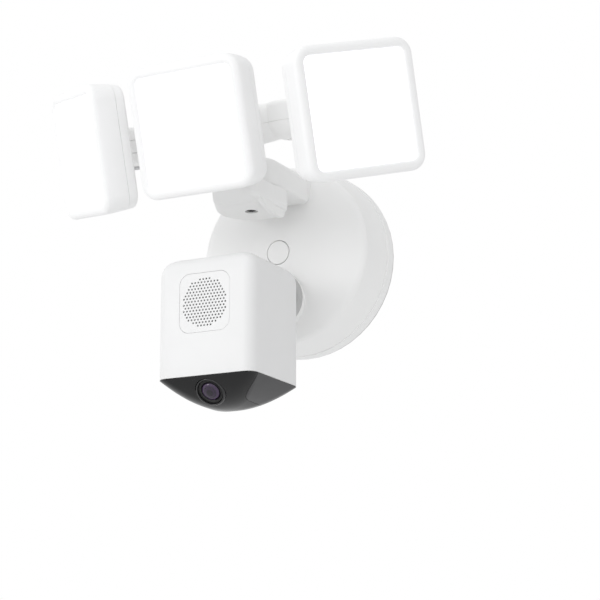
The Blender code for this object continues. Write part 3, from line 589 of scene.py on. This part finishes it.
def half_section(x, half_width, edge, depth, steps=14):
    """Half-oval section across the bar at x, from the seam at edge to depth."""
    points = []
    for step in range(steps + 1):
        angle = math.pi * step / steps
        y = -math.cos(angle)
        z = math.sin(angle) ** 0.62
        points.append((x, half_width * math.copysign(abs(y) ** 0.8, y), edge + (depth - edge) * z))
    return points


def bar_length():
    """Stations along the bar, evenly spaced."""
    return [-67.4 + 134.8 * k / 96 for k in range(97)]


def bowl(x):
    """0 in the notch between two swivels and 1 under a swivel."""
    return min(abs(abs(x) - BAR_NOTCH) / BAR_NOTCH, 1.0) ** 0.4


def bar_shell(name, seam, depth_at, cups, node):
    """One shell of the bar: a rounded beam joined by a cup at each swivel."""
    rings = [half_section(x, 9.4 + 0.5 * bowl(x), seam, depth_at(x)) for x in bar_length()]
    beam = from_rings(name + "_v", rings, False, bar_place(), WHITE_BAR_PAINTED_GLOW, 50.0)
    slot = bar_place((0.0, -CENTRE_FORWARD, 0.0))
    combine(beam, rod("cut_slot_" + name, SLOT_R, -SLOT_HALF, SLOT_HALF, slot, WHITE_BAR_PAINTED_GLOW, 72), "DIFFERENCE")
    bake(beam, 50.0)
    show(beam, "light_bar", "white_shell", node)
    low = cups[0][1]
    for tag, x, y in (("right", SIDE_X, 0.0), ("left", -SIDE_X, 0.0), ("centre", 0.0, -CENTRE_FORWARD)):
        profile = [(0.0, low)] + smooth_curve(list(cups), 4) + [(0.0, cups[-1][1])]
        cup = lathe(name + "_cup_" + tag, profile, bar_place((x, y, 0.0)), WHITE_BAR_PAINTED_GLOW, 72)
        show(cup, "light_bar", "white_shell")
    side = math.copysign(1.0, low)
    bulge = [(0.0, seam)] + smooth_curve([(r, seam + side * depth) for r, depth in BULGE[side]], 4)
    for tag, x in (("right", BULGE_X), ("left", -BULGE_X)):
        swell = lathe(name + "_bulge_" + tag, bulge, bar_place((x, 0.0, 0.0)), WHITE_BAR_PAINTED_GLOW, 96)
        if side < 0.0:
            spot = bar_place((math.copysign(BAR_SCREW_X, x), BAR_SCREW_Y, 0.0))
            combine(swell, rod("cut_sink_" + tag, BAR_SINK_R, -20.0, -9.0, spot, WHITE_BAR_PAINTED_GLOW), "DIFFERENCE")
            bake(swell, 40.0)
        show(swell, "light_bar", "white_shell")
    for tag, x in (("right", 69.5), ("left", -69.5)):
        span = [ring_at(9.5 - 0.3 * grow, 9.2 - grow, 2.0, side * level, (x, 0.0))
                for level, grow in ((5.05, 0.0), (12.6, 0.0), (14.2, 1.4))]
        strap = from_rings(name + "_strap_" + tag, span, False, bar_place(), WHITE_BAR_PAINTED_GLOW)
        show(strap, "light_bar", "white_shell")


def bar_ears():
    """The two ears under the bar that the tilt pin passes through."""
    offset = Vector((0.0, TILT_Y - BAR_ORIGIN[1], TILT_Z - BAR_ORIGIN[2]))
    pin = Matrix.Rotation(-PITCH, 3, "X") @ offset
    outline = [(pin.y + 7.0, -12.0), (pin.y + TILT_EAR_R, pin.z)]
    outline += [(pin.y + TILT_EAR_R * math.cos(math.pi * k / 24),
                 pin.z - TILT_EAR_R * math.sin(math.pi * k / 24)) for k in range(1, 24)]
    outline += [(pin.y - TILT_EAR_R, pin.z), (pin.y - 7.0, -12.0)]
    hole = place((0.0, TILT_Y, TILT_Z), SIDEWAYS)
    for tag, low, high in (("left", -TILT_EAR_OUT, -TILT_EAR_IN), ("right", TILT_EAR_IN, TILT_EAR_OUT)):
        ear = prism("bar_ear_" + tag, outline, low, high, bar_place() @ SIDEWAYS.to_4x4(), WHITE_BAR_PAINTED_GLOW)
        combine(ear, rod("cut_ear_" + tag, TILT_HOLE_R, -30.0, 30.0, hole, WHITE_BAR_PAINTED_GLOW), "DIFFERENCE")
        bake(ear, 40.0)
        soften(ear, 0.5, 3)
        show(ear, "light_bar", "white_shell")


def build_bar():
    bar_ears()
    top_cup = ((15.0, 5.1), (15.0, 9.0), (14.7, 12.0), (13.2, 14.0), (10.5, 14.8), (6.0, 15.0))
    low_cup = ((15.0, -5.1), (14.9, -7.5), (14.0, -10.4), (12.0, -12.9), (9.0, -14.4), (5.5, -14.95))
    bar_shell("bar_upper_shell", 1.95, lambda x: 16.6, top_cup, "bar_upper_shell")
    bar_shell("bar_lower_shell", 1.75, lambda x: -9.6 - 5.0 * bowl(x), low_cup, "bar_lower_shell")


# ---------------------------------------------------------------- heads

def build_head(which):
    base = head_place(which)
    lift = CENTRE_LIFT if which == "centre" else 0.0
    out = base @ Matrix.Translation(Vector((0.0, 0.0, lift * MM))) @ OUTWARD.to_4x4()
    body = which + "_head"
    shell = smooth_curve([(18.0, 40.0), (18.0, 42.4), (18.5, 44.6), (19.9, 46.0), (22.0, 46.5),
                          (26.0, 46.9)], 4)
    rings = [ring_at(size, size, size - 34.2, level) for level, size in shell]
    rings += [ring_at(size, size, size - 34.2, level)
              for level, size in ((26.4, 46.5), (26.4, 44.4), (21.0, 43.8))]
    back = from_rings(body + "_back_v", rings, False, out, WHITE_RIM_PAINTED_GLOW)
    show(back, body, "white_shell", which + "_head_back")
    rim = smooth_curve([(15.0, 18.2), (15.0, 16.6), (14.6, 15.9), (13.6, 15.6)], 3)
    disc = lathe(body + "_disc", [(0.0, 18.4), (15.0, 18.4)] + rim + [(0.0, 15.6)],
                 base @ OUTWARD.to_4x4(), WHITE)
    show(disc, body, "white_shell")
    ear = [(SWIVEL_R * math.cos(math.pi * k / 40), SWIVEL_R * math.sin(math.pi * k / 40)) for k in range(41)]
    ear += [(-SWIVEL_R, -4.0), (-9.0, -12.0), (-8.0, -18.6), (8.0, -18.6), (9.0, -12.0), (SWIVEL_R, -4.0)]
    lug = prism(body + "_ear", ear, -SWIVEL_HALF, SWIVEL_HALF, base, WHITE_BAR_PAINTED_GLOW)
    combine(lug, rod("cut_ear", 2.9, -10.0, 10.0, base, WHITE, 32), "DIFFERENCE")
    bake(lug)
    soften(lug, 0.5, 2)
    show(lug, body, "white_shell")
    face = smooth_curve([(34.0, 47.75), (38.5, 48.25), (41.2, 48.45), (43.2, 48.1), (44.6, 47.0),
                         (45.35, 45.4), (45.5, 43.8), (45.3, 42.4), (44.6, 41.3)], 4)
    front = [(26.9, 46.6), (26.6, 46.95), (27.4, 47.1)] + face
    front += [(43.6, 40.9), (41.6, 40.8), (41.6, 44.4), (26.6, 44.4)]
    rings = [ring_at(size, size, size - 36.0, level) for level, size in front]
    bezel = from_rings(body + "_frame_v", rings, True, out, WHITE_RIM_PAINTED_GLOW)
    show(bezel, body, "white_shell", which + "_head_frame")
    crown = smooth_curve([(43.2, 40.6), (44.2, 40.1), (44.8, 38.8), (45.1, 35.0), (45.25, 28.0),
                          (45.3, 14.0)], 4)
    pane = [(38.6, 44.0), (41.3, 44.0), (41.3, 40.6)] + crown
    rings = [ring_at(size, size, max(size - 36.0, 2.0), level) for level, size in pane]
    diffuser = from_rings(body + "_lens_v", rings, False, out, LAMP, 60.0)
    show(diffuser, body, "lamp_diffuser", which + "_head_lens")


# ---------------------------------------------------------------- camera

def cam_ring(inset, height, rise=0.0):
    """Level line of the box; the roof is raised by up to rise towards the middle of its width."""
    corner = max(CAM_CORNER - 0.35 * inset, 2.0)
    flat = ring_at(CAM_HALF_X - inset, CAM_HALF_Y - inset, corner, height, (0.0, CAM_MID_Y), 12)
    return [(x, y, z + rise * (1.0 - (x / CAM_HALF_X) ** 2)) for x, y, z in flat]


def build_camera_shell():
    wall = [(0.5, CAM_BOTTOM, 0.0), (0.12, CAM_BOTTOM + 0.15, 0.0), (0.0, CAM_BOTTOM + 0.6, 0.0)]
    shoulder = smooth_curve([(0.0, -44.0, 0.0), (0.12, -39.5, 0.1), (0.9, -35.6, 0.35), (2.6, -32.4, 0.7),
                             (5.4, -30.0, 1.1), (9.4, -28.6, 1.5), (14.5, -28.1, 1.6), (22.0, -28.0, 1.6),
                             (30.0, -28.0, 1.6), (34.5, -28.0, 1.6)], 5)
    inner = [(2.2, CAM_BOTTOM), (2.5, CAM_BOTTOM + 0.4), (2.5, -42.0), (4.5, -36.0), (9.0, -32.2),
             (14.0, -31.0)]
    rings = [cam_ring(*level) for level in reversed(wall + shoulder)]
    rings += [cam_ring(inset, height) for inset, height in inner]
    shell = from_rings("camera_shell_v", rings, False, place(), WHITE_BOX, 45.0)
    window = [(x, y - 73.5) for x, y in rounded_rect(28.0, 31.5, 4.0, 6)]
    combine(shell, prism("cut_rear_window", window, 88.0, 98.0, WALL, WHITE), "DIFFERENCE")
    face = [(x, y + GRILLE_MID_Z) for x, y in rounded_rect(20.7, 21.9, 8.2, 12)]
    combine(shell, prism("cut_grille_window", face, 160.0, 168.0, WALL, WHITE), "DIFFERENCE")
    bake(shell, 40.0)
    show(shell, "camera", "white_shell", "camera_shell")


def build_grille():
    """Plate with a round field of close-packed holes cut right through it."""
    build = bmesh.new()
    rim = rounded_rect(20.5, 21.7, 8.0, 12)
    outer = [build.verts.new((x, y + GRILLE_MID_Z, 0.0)) for x, y in rim]
    edges = [build.edges.new((outer[i], outer[(i + 1) % len(outer)])) for i in range(len(outer))]
    row_gap = GRILLE_PITCH * HEX_ROW
    for row in range(-8, 8):
        for column in range(-9, 10):
            x = (column + 0.5 * (row % 2)) * GRILLE_PITCH
            z = (row + 0.5) * row_gap
            if math.hypot(x, z) > GRILLE_FIELD:
                continue
            hole = [build.verts.new((x + px, z + pz + GRILLE_MID_Z, 0.0))
                    for px, pz in circle(GRILLE_HOLE_R, GRILLE_HOLE_SIDES)]
            edges += [build.edges.new((hole[i], hole[(i + 1) % GRILLE_HOLE_SIDES]))
                      for i in range(GRILLE_HOLE_SIDES)]
    bmesh.ops.triangle_fill(build, use_beauty=True, use_dissolve=False, edges=edges)
    for vert in build.verts:
        vert.co *= MM
    sheet = bmesh.ops.extrude_face_region(build, geom=build.faces[:])
    for item in sheet["geom"]:
        if isinstance(item, bmesh.types.BMVert):
            item.co.z += GRILLE_THICK * MM
    bmesh.ops.recalc_face_normals(build, faces=build.faces)
    mesh = bpy.data.meshes.new("speaker_grille_v")
    build.to_mesh(mesh)
    build.free()
    plate = finish("speaker_grille_v", mesh, place((0.0, GRILLE_BACK_Y, 0.0), OUTWARD), WHITE_BOX)
    show(plate, "camera", "white_shell", "speaker_grille")
    cone = smooth_curve([(16.0, 160.6), (14.5, 161.0), (12.0, 158.6), (8.0, 156.0), (5.0, 155.6),
                         (3.0, 157.6)], 4)
    basket = [(0.0, 152.0), (9.0, 150.0), (12.0, 150.0), (17.0, 158.5), (17.0, 160.6)]
    driver = lathe("speaker_driver_v", basket + cone + [(0.0, 158.4)],
                   place((0.0, 0.0, GRILLE_MID_Z), OUTWARD), COMPONENT, 64)
    show(driver, "camera", "component_dark", "speaker_driver")


def dome_ring(scale, lift=0.0):
    """Level line of the bottom dome: the footprint of the box at the rim, rounder towards the middle."""
    half_x = CAM_HALF_X * scale
    half_y = CAM_HALF_Y * scale
    corner = CAM_CORNER * scale
    corner += (min(half_x, half_y) - corner) * (1.0 - scale) * 0.9
    height = DOME_TOP - DOME_DROP * (1.0 - scale ** DOME_FULLNESS) + lift
    return ring_at(half_x, half_y, corner, height, (0.0, CAM_MID_Y), 14)


def dome_body(name, material):
    scales = [1.0 - 0.04 * k for k in range(25)]
    rings = [[(0.0, CAM_MID_Y, DOME_TOP - DOME_DROP + 2.2)]]
    rings += [dome_ring(scale, 2.2) for scale in (0.1, 0.25, 0.4, 0.55, 0.7, 0.8, 0.88)]
    rings += [dome_ring(scale) for scale in scales if scale > 0.03]
    rings.append([(0.0, CAM_MID_Y, DOME_TOP - DOME_DROP)])
    return from_rings(name, rings, False, place(), material, 50.0)


def tongue(grow):
    """Plan of the window's rounded tongue, which reaches back between the two arms of the PIR lens."""
    half = smooth_curve([(CAM_HALF_X, SHOULDER_Y)] + list(TONGUE) + [(0.0, TONGUE_END_Y)], 4)
    points = [(50.0, SHOULDER_Y + grow)] + [(x + grow, y + grow * (x > 22.0)) for x, y in half[:-1]]
    points.append((0.0, TONGUE_END_Y + grow))
    points += [(-x - grow, y + grow * (x > 22.0)) for x, y in reversed(half[:-1])]
    return points + [(-50.0, SHOULDER_Y + grow)]


def build_dome():
    front = dome_body("camera_window_v", DARK)
    rear = dome_body("pir_lens_v", PIR)
    front_keep = tongue(0.0) + [(-50.0, -172.0), (50.0, -172.0)]
    rear_keep = tongue(0.25) + [(-50.0, -85.0), (50.0, -85.0)]
    combine(front, prism("cut_front", front_keep, -150.0, -105.0, place(), DARK), "INTERSECT")
    combine(rear, prism("cut_rear", rear_keep, -150.0, -105.0, place(), PIR), "INTERSECT")
    axis = (0.0, -math.cos(LENS_DOWN), -math.sin(LENS_DOWN))
    third = tuple(Vector(axis).cross(Vector((1.0, 0.0, 0.0))))
    lens = place(LENS_AT, axes((1.0, 0.0, 0.0), third, axis))
    combine(front, rod("cut_lens", LENS_HOLE_R, -20.0, 20.0, lens, DARK, 96), "DIFFERENCE")
    bake(front, 40.0)
    bake(rear, 40.0)
    show(front, "camera", "dark_window", "camera_window")
    show(rear, "camera", "pir_plastic", "pir_lens")
    ring = smooth_curve([(11.5, -3.0), (11.5, 0.6), (11.3, 1.7), (10.8, 2.35), (10.2, 2.45), (9.8, 1.9),
                         (9.6, 0.9)], 5)
    show(lathe("lens_ring_v", ring + [(9.6, -3.0)], lens, RING, 128), "camera", "lens_black", "lens_ring")
    barrel = ((0.0, -12.0), (7.4, -12.0), (7.4, -4.0), (9.45, -4.0), (9.45, 0.9), (9.2, 1.25), (8.9, 1.25),
              (8.75, 0.9), (8.35, 0.9), (8.2, 1.3), (7.9, 1.3), (7.2, 0.5), (7.15, 0.1), (0.0, 0.1))
    show(lathe("lens_barrel_v", barrel, lens, BLACK, 128), "camera", "lens_black", "lens_barrel")
    glass = smooth_curve([(GLASS_R, 0.35), (6.6, 1.15), (5.6, 1.95), (4.0, 2.7), (2.0, 3.15), (0.6, 3.25)], 5)
    show(lathe("lens_glass_v", [(0.0, 0.2), (GLASS_R, 0.2)] + glass + [(0.0, 3.26)], lens, GLASS, 128),
         "camera", "lens_glass", "lens_glass")


# ---------------------------------------------------------------- stage

def area_light(name, spot, target, size, power):
    data = bpy.data.lights.new(name, "AREA")
    data.shape = "DISK"
    data.size = size
    data.energy = power
    light = bpy.data.objects.new(name, data)
    bpy.context.scene.collection.objects.link(light)
    light.location = spot
    light.rotation_euler = (Vector(target) - Vector(spot)).to_track_quat("-Z", "Y").to_euler()
    return light


def build_stage():
    floor_mesh = bpy.data.meshes.new("floor")
    corners = [(sx * FLOOR_REACH, sy * FLOOR_REACH, FLOOR_LEVEL)
               for sx, sy in ((-1, -1), (1, -1), (1, 1), (-1, 1))]
    floor_mesh.from_pydata(corners, [], [(0, 1, 2, 3)])
    floor = bpy.data.objects.new("floor", floor_mesh)
    bpy.context.scene.collection.objects.link(floor)
    material, tree, shader = principled("floor")
    shader.inputs["Base Color"].default_value = grey(0.86)
    shader.inputs["Roughness"].default_value = 0.8
    floor_mesh.materials.append(material)
    world = bpy.data.worlds.new("studio")
    bpy.context.scene.world = world
    world.use_nodes = True
    tree = world.node_tree
    backdrop = tree.nodes["Background"]
    backdrop.inputs["Color"].default_value = grey(1.0)
    backdrop.inputs["Strength"].default_value = 1.0
    ambient = tree.nodes.new("ShaderNodeBackground")
    ambient.inputs["Color"].default_value = (0.992, 0.996, 1.0, 1.0)
    coords = tree.nodes.new("ShaderNodeTexCoord")
    facing = tree.nodes.new("ShaderNodeVectorMath")
    facing.operation = "DOT_PRODUCT"
    facing.inputs[1].default_value = WORLD_TOWARDS
    tree.links.new(coords.outputs["Generated"], facing.inputs[0])
    glow = tree.nodes.new("ShaderNodeMath")
    glow.operation = "MULTIPLY_ADD"
    glow.inputs[1].default_value = WORLD_SLOPE
    glow.inputs[2].default_value = WORLD_LEVEL
    tree.links.new(facing.outputs["Value"], glow.inputs[0])
    tree.links.new(glow.outputs[0], ambient.inputs["Strength"])
    seen = tree.nodes.new("ShaderNodeLightPath")
    mix = tree.nodes.new("ShaderNodeMixShader")
    tree.links.new(seen.outputs["Is Camera Ray"], mix.inputs[0])
    tree.links.new(ambient.outputs[0], mix.inputs[1])
    tree.links.new(backdrop.outputs[0], mix.inputs[2])
    tree.links.new(mix.outputs[0], tree.nodes["World Output"].inputs["Surface"])
    area_light("key", KEY_AT, KEY_TARGET, KEY_SIZE, KEY_POWER)


def build_camera():
    data = bpy.data.cameras.new("view")
    data.sensor_width = EYE_SENSOR
    data.lens = EYE_LENS
    data.clip_start = 0.01
    data.clip_end = 50.0
    eye = bpy.data.objects.new("view", data)
    bpy.context.scene.collection.objects.link(eye)
    right = Vector(EYE_RIGHT).normalized()
    forward = Vector(EYE_FORWARD).normalized()
    up = right.cross(forward)
    turn = Matrix((right, up, -forward)).transposed()
    eye.matrix_world = Matrix.Translation(Vector(EYE_AT)) @ turn.to_4x4()
    bpy.context.scene.camera = eye


def paint_cad_nodes():
    slots = {row["node"]: row["material_slot"] for row in frame["record"]["subparts"]}
    for name, node in frame["nodes"].items():
        node.data.materials.clear()
        node.data.materials.append(CAD_NODE_FINISH.get(name, CAD_FINISH[slots[name]]))


paint_cad_nodes()
build_base()
build_arm()
build_hub()
phillips("hub_pivot_head", place((0.0, PAN_Y, HUB_SCREW_Z)), 4.3, 2.8, "wall_base",
         ("hub_pivot_screw",), BLACK)
build_bar()
for side in ("left", "centre", "right"):
    build_head(side)
build_camera_shell()
build_grille()
build_dome()
build_stage()
build_camera()
bpy.context.scene.view_settings.view_transform = "Standard"
